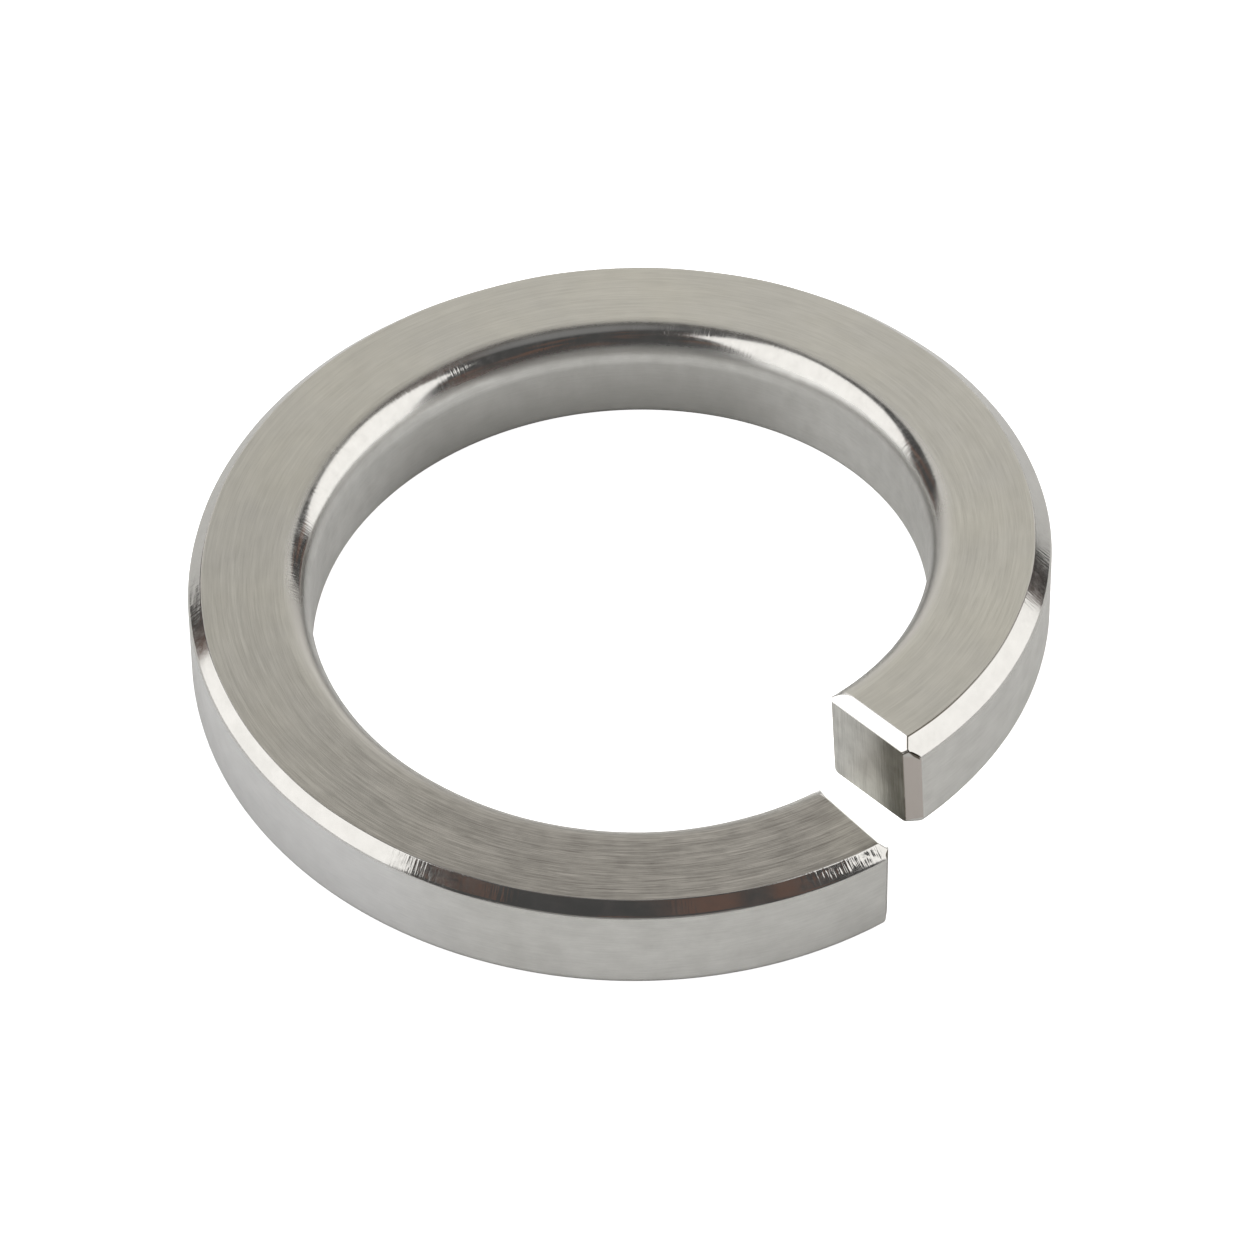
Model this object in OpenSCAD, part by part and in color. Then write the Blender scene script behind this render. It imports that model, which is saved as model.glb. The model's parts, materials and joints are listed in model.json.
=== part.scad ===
// Spring lock washer: one turn of nearly square steel wire, coiled left-handed,
// cut through and sprung open, so that its two ends stand apart along the axis.
// The bolt's axis is Z, the coil's lowest point is at Z = 0 and the slit faces +X.
// The high end is on the counter-clockwise side of the slit, seen from above, and the
// coil falls from there round to the low end. Both bite a bolt that turns loose.

/* [Bolt hole] */
// Diameter of the hole that the bolt passes through
bore_d = 30.5; // [20:0.1:45]

/* [Wire section] */
// Width of the wire, outwards from the hole
wire_w = 6; // [4:0.1:10]
// Thickness of the wire, along the axis
wire_t = 5.3; // [4:0.1:9]
// Leg of the bevel along the top outer edge
outer_bevel = 0.75; // [0.2:0.05:1.2]
// Radius of the round along the top inner edge
inner_round = 1.55; // [0.2:0.05:1.8]
// Radius of the rounds along both bottom edges
bottom_round = 0.5; // [0.2:0.05:1.2]

/* [Spring] */
// Height that the coil gains in one whole turn
turn_rise = 6; // [0:0.1:12]

/* [Cut ends] */
// Width of the slit at the middle of the wire
slit_w = 0.7; // [0.6:0.05:4]
// Angle, seen from above, between the high end's cut and a plane through the axis
cut_skew = 3; // [0:0.5:8]
// Angle by which the high end's cut leans back towards its bottom edge
cut_lean = 3.5; // [0:0.5:6]
// How much lower the shear left the high end's bottom edge
end_drop = 0.35; // [0:0.05:0.5]
// Leg of the bevel along the top, outer and inner edges of each cut face
end_bevel = 0.6; // [0.2:0.05:0.8]

/* [Hidden] */

// Radii of the two true walls and of the middle of the wire
bore_r = bore_d / 2;
rim_r = bore_r + wire_w;
mid_r = bore_r + wire_w / 2;

// The wire is swept this much too wide on both sides, and two true cylinders trim it
trim = 0.02;
// Straight steps in a quarter round of the section
arc_steps = 5;
// Angle between two neighbouring sections of the sweep
ring_step = 2.5;
// Sides of the true walls, as drawn
wall_sides = 360;
// Length past both ends of the coil of what cuts it
cut_margin = 2;
// Length past both ends of an edge of what bevels it
bevel_margin = 0.1;

// Angles, from +X, of the two cut faces
first_cut = slit_w / 2 / mid_r * 180 / PI;
last_cut = 360 - first_cut;
// What is special about the high end's cut dies away over this angle
cut_fade = 40;

// Angles of the sweep's sections, evenly spaced from one cut face to the other
ring_count = ceil((last_cut - first_cut) / ring_step);
ring_angles = [
    for (i = [0:ring_count]) first_cut + (last_cut - first_cut) * i / ring_count
];

// Height of the middle of the wire: the low end's bottom edge is at Z = 0
function mid_height(angle) = turn_rise * (last_cut - angle) / 360 + wire_t / 2;

// Share of the high end's skew, lean and drop that is left at an angle
function cut_left(angle) = max(0, 1 - (angle - first_cut) / cut_fade);

// Points of a quarter round of radius r about [x, z], from one angle to another
function quarter(x, z, r, from, to) = [
    for (i = [0:arc_steps])
        let (angle = from + (to - from) * i / arc_steps)
        [x + r * cos(angle), z + r * sin(angle)]
];

// Half the wire's width and thickness as swept, before the walls are trimmed
half_w = wire_w / 2 + trim;
half_t = wire_t / 2;

// Section of the wire about its own middle, as [outwards, up], anticlockwise from the
// bottom inner edge, with its bottom lowered by drop
function section(drop) =
    let (
        low_r = bottom_round + trim,
        high_r = inner_round + trim,
        leg = outer_bevel + trim
    )
    concat(
        quarter(low_r - half_w, low_r - half_t - drop, low_r, 180, 270),
        quarter(half_w - low_r, low_r - half_t - drop, low_r, 270, 360),
        [[half_w, half_t - leg], [half_w - leg, half_t]],
        quarter(high_r - half_w, half_t - high_r, high_r, 90, 180)
    );

// Place of a section's point on the coil. At the high end the section turns into the plane
// of the skewed and leaning cut.
function on_coil(p, angle) =
    let (
        r = mid_r + p[0],
        ahead = tan(cut_skew) * p[0] - tan(cut_lean) * p[1],
        turned = angle + cut_left(angle) * asin(ahead / r)
    )
    [r * cos(turned), r * sin(turned), mid_height(turned) + p[1]];

// The sweep's points, ring by ring, and the number of points in a ring
coil_points = [
    for (angle = ring_angles) for (p = section(end_drop * cut_left(angle))) on_coil(p, angle)
];
ring_size = len(section(0));
last_ring = len(ring_angles) - 1;

// Index of point j of ring i, counting round the ring
function at(i, j) = i * ring_size + j % ring_size;

coil_faces = concat(
    [[for (j = [0:ring_size - 1]) at(0, ring_size - 1 - j)]],
    [for (i = [0:last_ring - 1]) for (j = [0:ring_size - 1]) [at(i, j), at(i, j + 1), at(i + 1, j)]],
    [for (i = [0:last_ring - 1]) for (j = [0:ring_size - 1]) [at(i, j + 1), at(i + 1, j + 1), at(i + 1, j)]],
    [[for (j = [0:ring_size - 1]) at(last_ring, j)]]
);

// The coiled wire between its two cuts, before its ends are bevelled and its walls trimmed
module coiled_wire() {
    polyhedron(points = coil_points, faces = coil_faces, convexity = 6);
}

// A true cylinder about the axis that runs past both ends of the coil
module through_cylinder(r) {
    translate([0, 0, -cut_margin])
        cylinder(h = turn_rise + wire_t + 2 * cut_margin, r = r, $fn = wall_sides);
}

// What a bevel takes off an edge along X that faces -Y and +Z. The edge's middle is the
// origin. The cutter is kept slim, so that it never reaches the other end.
module bevel_cutter(edge) {
    length = edge + 2 * bevel_margin;
    translate([0, 0, -end_bevel])
        rotate([45, 0, 0])
        translate([-length / 2, -0.4 * end_bevel, 0])
        cube([length, 2.2 * end_bevel, 0.75 * end_bevel]);
}

// What the bevels take off an end whose cut is the plane Y = 0, with the wire on its +Y
// side, X outwards and the origin at the middle of the cut
module end_cutters() {
    translate([0, 0, half_t])
        bevel_cutter(wire_w);
    for (side = [-1, 1])
        translate([side * wire_w / 2, 0, 0])
        rotate([0, side * 90, 0])
        bevel_cutter(wire_t + 2 * end_drop);
}

// Puts its children at the middle of the wire, with X outwards and Y along the coil
module at_coil(angle) {
    translate([mid_r * cos(angle), mid_r * sin(angle), mid_height(angle)])
        rotate([0, 0, angle])
        children();
}

// The coiled wire with its two ends bevelled
module bevelled_wire() {
    difference() {
        coiled_wire();
        at_coil(first_cut)
            rotate([cut_lean, 0, cut_skew])
            end_cutters();
        at_coil(last_cut)
            mirror([0, 1, 0])
            end_cutters();
    }
}

// The whole washer: the bevelled wire, bored and turned to its true walls
module spring_washer() {
    color([0.70, 0.69, 0.67])
    intersection() {
        difference() {
            bevelled_wire();
            through_cylinder(bore_r);
        }
        through_cylinder(rim_r);
    }
}

spring_washer();
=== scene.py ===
# %% [markdown]
# # A spring lock washer in brushed and burnished steel
# The washer is one turn of nearly square wire. Its top and bottom are brushed along the coil, its
# walls are satin, and its edges are burnished bright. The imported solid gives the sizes. This lesson
# works out a finer skin of the same form, gives each face its own finish, and lights it in a small
# studio, because a bright edge shows nothing but what stands round it.

# %% Load the frame
import json
import math

import bpy
import numpy as np
from mathutils import Matrix, Vector


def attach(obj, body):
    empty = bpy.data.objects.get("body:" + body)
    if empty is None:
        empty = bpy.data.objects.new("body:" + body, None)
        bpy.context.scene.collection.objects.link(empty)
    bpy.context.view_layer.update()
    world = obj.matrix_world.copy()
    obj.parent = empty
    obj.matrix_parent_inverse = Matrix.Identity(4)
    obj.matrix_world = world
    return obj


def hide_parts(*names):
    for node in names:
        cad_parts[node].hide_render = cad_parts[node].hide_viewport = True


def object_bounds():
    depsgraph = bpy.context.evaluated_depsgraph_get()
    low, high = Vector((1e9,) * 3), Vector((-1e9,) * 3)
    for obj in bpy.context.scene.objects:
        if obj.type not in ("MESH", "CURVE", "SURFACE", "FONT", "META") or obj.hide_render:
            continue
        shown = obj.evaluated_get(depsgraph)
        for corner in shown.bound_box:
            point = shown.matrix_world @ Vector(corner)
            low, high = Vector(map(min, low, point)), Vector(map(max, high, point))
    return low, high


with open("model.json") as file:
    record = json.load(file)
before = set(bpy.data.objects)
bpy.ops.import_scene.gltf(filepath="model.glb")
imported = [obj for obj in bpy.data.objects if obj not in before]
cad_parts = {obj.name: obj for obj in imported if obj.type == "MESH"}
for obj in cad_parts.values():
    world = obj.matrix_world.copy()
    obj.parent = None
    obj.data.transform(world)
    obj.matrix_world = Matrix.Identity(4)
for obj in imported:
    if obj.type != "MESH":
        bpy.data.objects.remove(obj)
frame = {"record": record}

MM = 0.001
cad_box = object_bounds()
print("CAD box in mm:", [round(c / MM, 2) for corner in cad_box for c in corner])

# %% [markdown]
# ## Sizes
# The hole comes from the bolt's mount and the rim from the solid's box, so the skin can't drift from
# the solid. The smaller sizes are the solid's own, written once. Angles are counted anticlockwise from
# the middle of the slit, which faces +X. The high end stands just after the slit, and the coil falls
# all the way round from it to the low end.

# %% Sizes of the washer
bore_mount = next(m for m in frame["record"]["mounts"] if m["name"] == "bore")
bore_radius = bore_mount["dims"]["r_mm"] * MM
rim_radius = cad_box[1].y
wire_width = rim_radius - bore_radius
mid_radius = bore_radius + wire_width / 2
wire_thickness = 5.3 * MM
turn_rise = 6.0 * MM

inner_round = 1.55 * MM
bottom_round = 0.5 * MM
slit_width = 0.7 * MM
end_bevel = 0.6 * MM
cut_skew = math.radians(3)
cut_lean = math.radians(3.5)
end_drop = 0.35 * MM
cut_fade = math.radians(40)

first_cut = slit_width / 2 / mid_radius
last_cut = 2 * math.pi - first_cut
coil_length = (last_cut - first_cut) * mid_radius
print("wire, mm:", round(wire_width / MM, 3), "by", round(wire_thickness / MM, 3))

# %% [markdown]
# ## Rings along the coil
# A sweep needs one section for each ring. At both ends the first rings stand close together, because
# there the end bevels rise from the cut face, on its top, outer and inner edges. Its bottom edge is
# left as the shear left it. Each ring carries its distance from the nearer cut and its inset, which is
# how far the end bevels have cut into the section at that distance. Its share of full size is one, but
# for a few rings that lie in the cut face itself and shrink towards the wire's middle to fill it.

# %% Rings: place along the coil, inset and share of full size
ring_step = 0.084 * MM
crisp_edge = 0.085 * MM
cap_shares = np.array([0.1, 0.25, 0.45, 0.65, 0.85, 0.97])
bend_points = 4
slope_points = 15
bend_reach = math.tan(math.pi / 8)


def end_bevel_path():
    """Distance from the cut and inset of the end rings, from the cut inwards.

    The path is the line where distance plus inset is the end bevel. Both its corners, which turn by
    45 degrees, become arcs of the crisp edge's radius. Such an arc starts before its corner by the
    radius times the bend's reach, which is the tangent of half the turn.
    """
    angle = np.linspace(0, math.pi / 4, bend_points)
    near = crisp_edge * (1 - np.cos(angle))
    deep = end_bevel + crisp_edge * bend_reach - crisp_edge * np.sin(angle)
    share = np.linspace(0, 1, slope_points)[1:-1]
    between = near[-1] * (1 - share) + deep[-1] * share
    distance = np.concatenate([near, between, deep[::-1]])
    inset = np.concatenate([deep, between[::-1], near[::-1]])
    return distance, inset


bevel_distance, bevel_inset = end_bevel_path()
cap_zero = np.zeros(len(cap_shares))
end_distance = np.concatenate([cap_zero, bevel_distance])
end_inset = np.concatenate([bevel_inset[0] + cap_zero, bevel_inset])
end_share = np.concatenate([cap_shares, np.ones(len(bevel_distance))])
whole_start = bevel_distance[-1] + ring_step / 2
whole_count = round((coil_length - 2 * whole_start) / ring_step) + 1
whole_along = np.linspace(whole_start, coil_length - whole_start, whole_count)

ring_along = np.concatenate([end_distance, whole_along, coil_length - end_distance[::-1]])
ring_inset = np.concatenate([end_inset, np.zeros(whole_count), end_inset[::-1]])
ring_share = np.concatenate([end_share, np.ones(whole_count), end_share[::-1]])
ring_angle = first_cut + ring_along / mid_radius
from_cut = np.minimum(ring_along, coil_length - ring_along)
print("rings:", len(ring_along), "of them at each end:", len(end_distance))

# %% [markdown]
# ## Section of the wire
# The section has five rounded corners: two soft ones below, a bevel on the top outer edge that is
# crisp above and soft below, and a large round on the top inner edge. Where an end bevel cuts into the
# section, the outer bevel keeps its own plane and only gets shorter, so that the three bevels meet in
# one point and leave a Y of fine edges. Every ring has the same number of points, so that the rings
# can be joined by quads: each corner is an arc, even where it is tiny.

# %% Arcs of the section
least_edge = 0.06 * MM
meeting_angle = 43
LOW_IN, LOW_OUT, BEVEL_OUT, BEVEL_TOP, HIGH_IN = range(5)
ARC_STEPS = (5, 5, 5, 3, 12)


def arc_points(middle, radius, start, end, steps):
    """Points of an arc for every ring: its middle plus the radius times the cosine and the sine of
    angles that go by equal steps from the start to the end."""
    share = np.linspace(0, 1, steps + 1)
    angle = np.radians(start)[:, None] * (1 - share) + np.radians(end)[:, None] * share
    offset = np.stack([np.cos(angle), np.sin(angle)], axis=2)
    return np.stack(middle, axis=1)[:, None] + radius[:, None, None] * offset


def inner_arc(half_w, top, size):
    """Middle, radius and both angles of what the end bevels leave of the inner round.

    The round keeps its middle. The planes of the end bevels cut it at the angles whose cosine is the
    distance left over the radius. Once they nearly meet, half way round, only a small corner of their
    own is left.
    """
    inset = wire_width / 2 - half_w
    cut = np.degrees(np.arccos(np.clip((size - inset) / size, -1, 1)))
    left = cut < meeting_angle
    corner = np.full(len(inset), least_edge)
    radius = np.where(left, size, corner)
    middle_x = np.where(left, size - wire_width / 2, corner - half_w)
    middle_y = np.where(left, wire_thickness / 2 - size, top - corner)
    return (middle_x, middle_y), radius, np.where(left, 90 + cut, 90), np.where(left, 180 - cut, 180)


print("points on the five arcs:", [steps + 1 for steps in ARC_STEPS])

# %% Sections: five arcs joined by straights
soft_edge = 0.34 * MM
soft_most = 0.9
low_round_loss = 0.5
STRAIGHT_SHARES = np.array([0.015, 0.34, 0.66, 0.985])[:, None]


def wire_sections(inset, distance, drop, leg, size):
    """One outline for each ring, about the wire's middle, as outwards and up.

    The top, outer and inner sides move in by the inset. The outer bevel's leg gets shorter by twice
    the inset, because its plane stays, and its soft lower edge may take up nine tenths of it. Both
    bottom rounds lose up to half their radius as the inset nears the end bevel. The bottom itself
    drops by drop, and meets the cut face in a small quarter round. Also returns, for each step between
    two points, its corner's number, or that number plus half for a straight.
    """
    half_w = wire_width / 2 - inset
    top = wire_thickness / 2 - inset
    short = np.maximum(crisp_edge - distance, 0)
    bottom = crisp_edge - np.sqrt(crisp_edge**2 - short**2) - wire_thickness / 2 - drop
    low = bottom_round * (1 - low_round_loss * inset / end_bevel)
    leg = np.maximum(leg - 2 * inset, least_edge)
    crisp = np.minimum(crisp_edge, leg / 2)
    soft = np.minimum(soft_edge, leg * soft_most)
    angle = np.zeros(len(inset))
    arcs = [
        ((low - half_w, bottom + low), low, angle + 180, angle + 270),
        ((half_w - low, bottom + low), low, angle + 270, angle + 360),
        ((half_w - soft, top - leg - soft * bend_reach), soft, angle, angle + 45),
        ((half_w - leg - crisp * bend_reach, top - crisp), crisp, angle + 45, angle + 90),
        inner_arc(half_w, top, size)]
    bends = [arc_points(*arc, steps) for arc, steps in zip(arcs, ARC_STEPS)]
    parts, owners = [], []
    for corner, bend in enumerate(bends):
        following = bends[(corner + 1) % len(bends)][:, None, 0]
        straight = bend[:, None, -1] * (1 - STRAIGHT_SHARES) + following * STRAIGHT_SHARES
        parts += [bend, straight]
        owners += [corner] * ARC_STEPS[corner] + [corner + 0.5] * (len(STRAIGHT_SHARES) + 1)
    return np.concatenate(parts, axis=1), np.array(owners)


print("points round a section:", sum(steps + 1 + len(STRAIGHT_SHARES) for steps in ARC_STEPS))

# %% [markdown]
# ## Uneven edges
# A burnished edge is never quite even. On the washer in the photograph the outer bevel is wider near
# the high end, so its leg goes from one size to another along the coil. A few faint sines of the angle
# make it and the inner round waver, which breaks up the reflections that run along them.

# %% The sections of all rings
low_leg = 0.64 * MM
high_leg = 0.85 * MM
leg_grows = (math.radians(240), math.radians(60))
LEG_WAVES = [(5, 0.4, 0.015), (11, 2.1, 0.012), (23, 1.0, 0.012)]
ROUND_WAVES = [(2, 1.3, 0.02), (7, 0.2, 0.012), (13, 2.6, 0.008)]


def slow_wave(angle, waves):
    """Sum of a few sines of the angle, each given as its count a turn, its phase and its size."""
    return sum(size * np.sin(count * angle + phase) for count, phase, size in waves)


def eased(value, low, high):
    """Goes smoothly from 0 at low to 1 at high: three times its square less twice its cube."""
    share = np.clip((value - low) / (high - low), 0, 1)
    return share**2 * (3 - 2 * share)


cut_left = np.clip(1 - (ring_angle - first_cut) / cut_fade, 0, 1)
even_leg = low_leg + (high_leg - low_leg) * eased(ring_angle, *leg_grows)
leg_along = even_leg * (1 + slow_wave(ring_angle, LEG_WAVES))
round_along = inner_round * (1 + slow_wave(ring_angle, ROUND_WAVES))
sections, strip_owner = wire_sections(
    ring_inset, from_cut, end_drop * cut_left, leg_along, round_along)
sections = sections * ring_share[:, None, None]
print("bevel's leg, mm:", round(leg_along.min() / MM, 3), "to", round(leg_along.max() / MM, 3))

# %% [markdown]
# ## The coil itself
# Each point of a ring keeps its distance from the axis and follows the coil's height at its own angle,
# which is what makes the top a helical face and not a bent disc. The high end was cut a few degrees
# out of true, both seen from above and from the side, so its sections turn into that plane.

# %% Points of the washer's skin
even_until = 1 * MM
even_gone = 6 * MM
largest_sine = 0.6


def on_coil(section):
    """Places section points, outwards and up, on the coil at the rings' angles.

    The cut's plane leads by the skew's tangent times outwards less the lean's tangent times up, and
    what it leads by turns the point round the axis. Close to the cuts, equal distances from the cut
    take the place of equal angles, so that an end bevel is as wide inside as outside. That dies away
    from 1 to 6 mm from the cut, and further on its sine is only kept small enough for an arcsine. The
    height is the wire's middle, which falls evenly with the angle.
    """
    radius = mid_radius + section[..., 0]
    lead = math.tan(cut_skew) * section[..., 0] - math.tan(cut_lean) * section[..., 1]
    close = np.clip((even_gone - from_cut) / (even_gone - even_until), 0, 1)
    close = close * np.sign(coil_length / 2 - ring_along)
    distance = from_cut[:, None]
    even = np.arcsin(np.minimum(distance / radius, largest_sine)) - distance / mid_radius
    turned = ring_angle[:, None] + cut_left[:, None] * np.arcsin(lead / radius) + close[:, None] * even
    middle = turn_rise * (last_cut - turned) / (2 * math.pi) + wire_thickness / 2
    place = [radius * np.cos(turned), radius * np.sin(turned), middle + section[..., 1]]
    return np.stack(place, axis=2)


skin_points = on_coil(sections)
coil_place = np.stack([
    np.broadcast_to(ring_along[:, None], sections.shape[:2]),
    sections[..., 0], sections[..., 1]], axis=2) / MM
print("skin points:", skin_points.shape[0] * skin_points.shape[1])

# %% [markdown]
# ## Finishes of the faces
# Five finishes meet on the wire. The flats were brushed, the walls and the bottom rounds kept the
# satin of the drawn wire, the outer bevel, the inner round and the side bevels of the ends were
# burnished, the bevels on top of the ends were ground, and the cut faces show the shear. Each strip of
# the skin takes its finish from the corner or side of the section that it came from. Two more values
# ride on the points: how much of the polish is there, which fades out on both sides of the inner
# round's crown, and where the fine dark edges run.

# %% Polish and fine edges at the skin's points
point_owner = np.array([corner for corner, steps in enumerate(ARC_STEPS)
                        for _ in range(steps + 1 + len(STRAIGHT_SHARES))])
point_step = np.concatenate([np.arange(steps + 1 + len(STRAIGHT_SHARES)) for steps in ARC_STEPS])
on_arc = point_step <= np.array(ARC_STEPS)[point_owner]

# From no polish to full polish, in degrees by which the round faces up, and in degrees of the coil
polish_up_from_foot = (30, 43)
polish_down_from_flat = (86, 62)
polish_after_slit = (50, 64)
polish_before_slit = (240, 228)
polish_by_wall = 0.25
soft_edge_share = 0.9
border_fades = (math.radians(5), math.radians(45))


def polish_of_points():
    """Share of the polish. It is full on the bevel, and goes down to a quarter where the bevel's soft
    lower edge meets the wall. On the inner round it is the product of four eased steps: two by how far
    the round faces up, from 0 degrees at the bore to 90 at the flat, and two along the coil, so that
    it is missing on the half turn that holds the slit."""
    facing_up = 90 * (1 - point_step / ARC_STEPS[HIGH_IN])
    on_round = eased(facing_up, *polish_up_from_foot) * eased(facing_up, *polish_down_from_flat)
    degrees = np.degrees(ring_angle)[:, None]
    along_round = eased(degrees, *polish_after_slit) * eased(degrees, *polish_before_slit)
    up_soft_edge = eased(point_step / ARC_STEPS[BEVEL_OUT], 0.0, soft_edge_share)
    below_bevel = polish_by_wall + (1 - polish_by_wall) * up_soft_edge
    polish = np.where(point_owner == HIGH_IN, on_round * along_round, 1.0)
    polish = np.where((point_owner == BEVEL_OUT) & on_arc, below_bevel, polish)
    polish[ring_inset > crisp_edge / 2] = 1.0
    return polish


def edges_of_points():
    """Fine edges: where two bevels meet at an end, and along the crisp border of the outer bevel,
    which fades out in the first 45 degrees from the high end."""
    border = on_arc & (point_owner == BEVEL_TOP)
    mitre = on_arc & ((point_owner == BEVEL_OUT) | (point_owner == BEVEL_TOP))
    fading = 1 - eased(ring_angle, *border_fades)
    cut_in = (ring_inset > crisp_edge / 2) & (ring_share == 1)
    return np.maximum(fading[:, None] * border * (ring_share[:, None] == 1), cut_in[:, None] * mitre)


polish = polish_of_points()
fine_edges = edges_of_points()
print("points on fine edges:", int((fine_edges > 0.5).sum()))

# %% Faces of the skin and their finishes
BRUSHED, SATIN, BURNISHED, SHEARED, GROUND = range(5)
FINISH_OF_OWNER = {
    LOW_IN: SATIN, LOW_IN + 0.5: BRUSHED, LOW_OUT: SATIN, LOW_OUT + 0.5: SATIN,
    BEVEL_OUT: BURNISHED, BEVEL_OUT + 0.5: BURNISHED, BEVEL_TOP: BURNISHED,
    BEVEL_TOP + 0.5: BRUSHED, HIGH_IN: BURNISHED, HIGH_IN + 0.5: SATIN,
}


def skin_faces(ring_count, ring_size):
    """Quads between neighbouring points of neighbouring rings, wound so that they face outwards."""
    ring = np.arange(ring_count - 1)[:, None] * ring_size
    point = np.arange(ring_size)[None]
    following = (point + 1) % ring_size
    corners = [ring + point, ring + ring_size + point, ring + ring_size + following, ring + following]
    return np.stack(corners, axis=2).reshape(-1, 4)


def skin_finishes(ring_count):
    """Finish of every quad. It goes by the strip on the whole rings. The end bevels are ground along
    the top and the inner round and burnished on the sides, and the cut faces are sheared."""
    by_strip = np.array([FINISH_OF_OWNER[owner] for owner in strip_owner])
    above = strip_owner > LOW_OUT
    on_top = (strip_owner == BEVEL_TOP + 0.5) | (strip_owner == HIGH_IN)
    finish = np.broadcast_to(by_strip, (ring_count - 1, len(by_strip))).copy()
    cap, bevel = len(cap_shares), len(bevel_distance)
    for rows in (slice(cap, cap + bevel - 1), slice(-(cap + bevel - 1), -cap)):
        finish[rows] = np.where(on_top, GROUND, np.where(above, BURNISHED, finish[rows]))
    finish[:cap] = SHEARED
    finish[-cap:] = SHEARED
    return finish.ravel()


print("quads by finish:", np.bincount(skin_finishes(len(ring_along)), minlength=5).tolist())

# %% Mesh of the skin
def add_attribute(mesh, name, kind, field, values):
    """Puts one value for every point into a named attribute."""
    attribute = mesh.attributes.new(name, kind, "POINT")
    attribute.data.foreach_set(field, values.astype(np.float32).ravel())


def make_skin(name):
    """Makes the mesh object: its quads, one polygon over each cut face, and the three attributes."""
    ring_count, ring_size = skin_points.shape[:2]
    quads = skin_faces(ring_count, ring_size)
    high_cap = list(range(ring_size))
    low_cap = list(range((ring_count - 1) * ring_size, ring_count * ring_size))[::-1]
    mesh = bpy.data.meshes.new(name)
    mesh.from_pydata(skin_points.reshape(-1, 3), [], quads.tolist() + [high_cap, low_cap])
    finish = np.concatenate([skin_finishes(ring_count), [SHEARED, SHEARED]]).astype(np.int32)
    mesh.polygons.foreach_set("material_index", finish)
    mesh.polygons.foreach_set("use_smooth", np.ones(len(finish), bool))
    add_attribute(mesh, "coil_place", "FLOAT_VECTOR", "vector", coil_place)
    add_attribute(mesh, "polish", "FLOAT", "value", polish)
    add_attribute(mesh, "fine_edges", "FLOAT", "value", fine_edges)
    mesh.update()
    skin = bpy.data.objects.new(name, mesh)
    bpy.context.scene.collection.objects.link(skin)
    return skin


washer_skin = make_skin("washer_skin")
print("quads:", len(washer_skin.data.polygons))

# %% [markdown]
# ## Grain that follows the coil
# The skin carries an attribute that says, in millimetres, how far along the coil, outwards and up each
# point lies. A pattern that reads it bends round the washer by itself and has no seam. Small node
# groups draw streaks that are long along the coil, a slow cloudiness, short ripples that lie across an
# edge, and a soft window that is open on one stretch of the coil only.

# %% Node helpers: groups, links and sums
def new_group(name, inputs, outputs):
    """Starts a shader node group with named inputs, each a name, a socket type and a default."""
    group = bpy.data.node_groups.new(name, "ShaderNodeTree")
    for label, kind, default in inputs:
        socket = group.interface.new_socket(label, in_out="INPUT", socket_type=kind)
        if default is not None:
            socket.default_value = default
    for label, kind in outputs:
        group.interface.new_socket(label, in_out="OUTPUT", socket_type=kind)
    return group, group.nodes.new("NodeGroupInput"), group.nodes.new("NodeGroupOutput")


def put(tree, socket, value):
    """Links a socket to another one, or sets it to a number or a colour."""
    if isinstance(value, bpy.types.NodeSocket):
        tree.links.new(value, socket)
    elif isinstance(value, tuple):
        socket.default_value = (*value, 1.0)
    else:
        socket.default_value = value


def math_node(tree, operation, first, second=None):
    """Adds a Math node. Its inputs are numbers or sockets."""
    node = tree.nodes.new("ShaderNodeMath")
    node.operation = operation
    put(tree, node.inputs[0], first)
    if second is not None:
        put(tree, node.inputs[1], second)
    return node.outputs[0]


print("helpers: new_group, put, math_node")

# %% Node helpers: noise, ranges and axes
def stretched_noise(tree, place, along, across, detail=1.0, roughness=0.5):
    """Noise on the coil's place, whose patches are along by across millimetres. Both may be sockets."""
    scale = tree.nodes.new("ShaderNodeCombineXYZ")
    put(tree, scale.inputs["X"], math_node(tree, "DIVIDE", 1.0, along))
    narrow = math_node(tree, "DIVIDE", 1.0, across)
    put(tree, scale.inputs["Y"], narrow)
    put(tree, scale.inputs["Z"], narrow)
    scaled = tree.nodes.new("ShaderNodeVectorMath")
    scaled.operation = "MULTIPLY"
    put(tree, scaled.inputs[0], place)
    put(tree, scaled.inputs[1], scale.outputs[0])
    noise = tree.nodes.new("ShaderNodeTexNoise")
    noise.inputs["Scale"].default_value = 1.0
    noise.inputs["Detail"].default_value = detail
    noise.inputs["Roughness"].default_value = roughness
    put(tree, noise.inputs["Vector"], scaled.outputs[0])
    return noise.outputs["Fac"]


def spread(tree, value, low, high, smooth=False):
    """Maps the values from low to high onto 0 to 1, and cuts off what lies outside."""
    node = tree.nodes.new("ShaderNodeMapRange")
    if smooth:
        node.interpolation_type = "SMOOTHSTEP"
    put(tree, node.inputs["From Min"], low)
    put(tree, node.inputs["From Max"], high)
    put(tree, node.inputs["Value"], value)
    return node.outputs["Result"]


def axis_of(tree, place, axis):
    """One of the three numbers of a place: X along the coil, Y outwards, Z up."""
    split = tree.nodes.new("ShaderNodeSeparateXYZ")
    put(tree, split.inputs[0], place)
    return split.outputs[axis]


print("helpers: stretched_noise, spread, axis_of")

# %% Node helpers: blends and groups in use
def blend_numbers(tree, share, low, high):
    """A number that goes from low to high with the share."""
    node = tree.nodes.new("ShaderNodeMix")
    put(tree, node.inputs["Factor"], share)
    put(tree, node.inputs["A"], low)
    put(tree, node.inputs["B"], high)
    return node.outputs["Result"]


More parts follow.
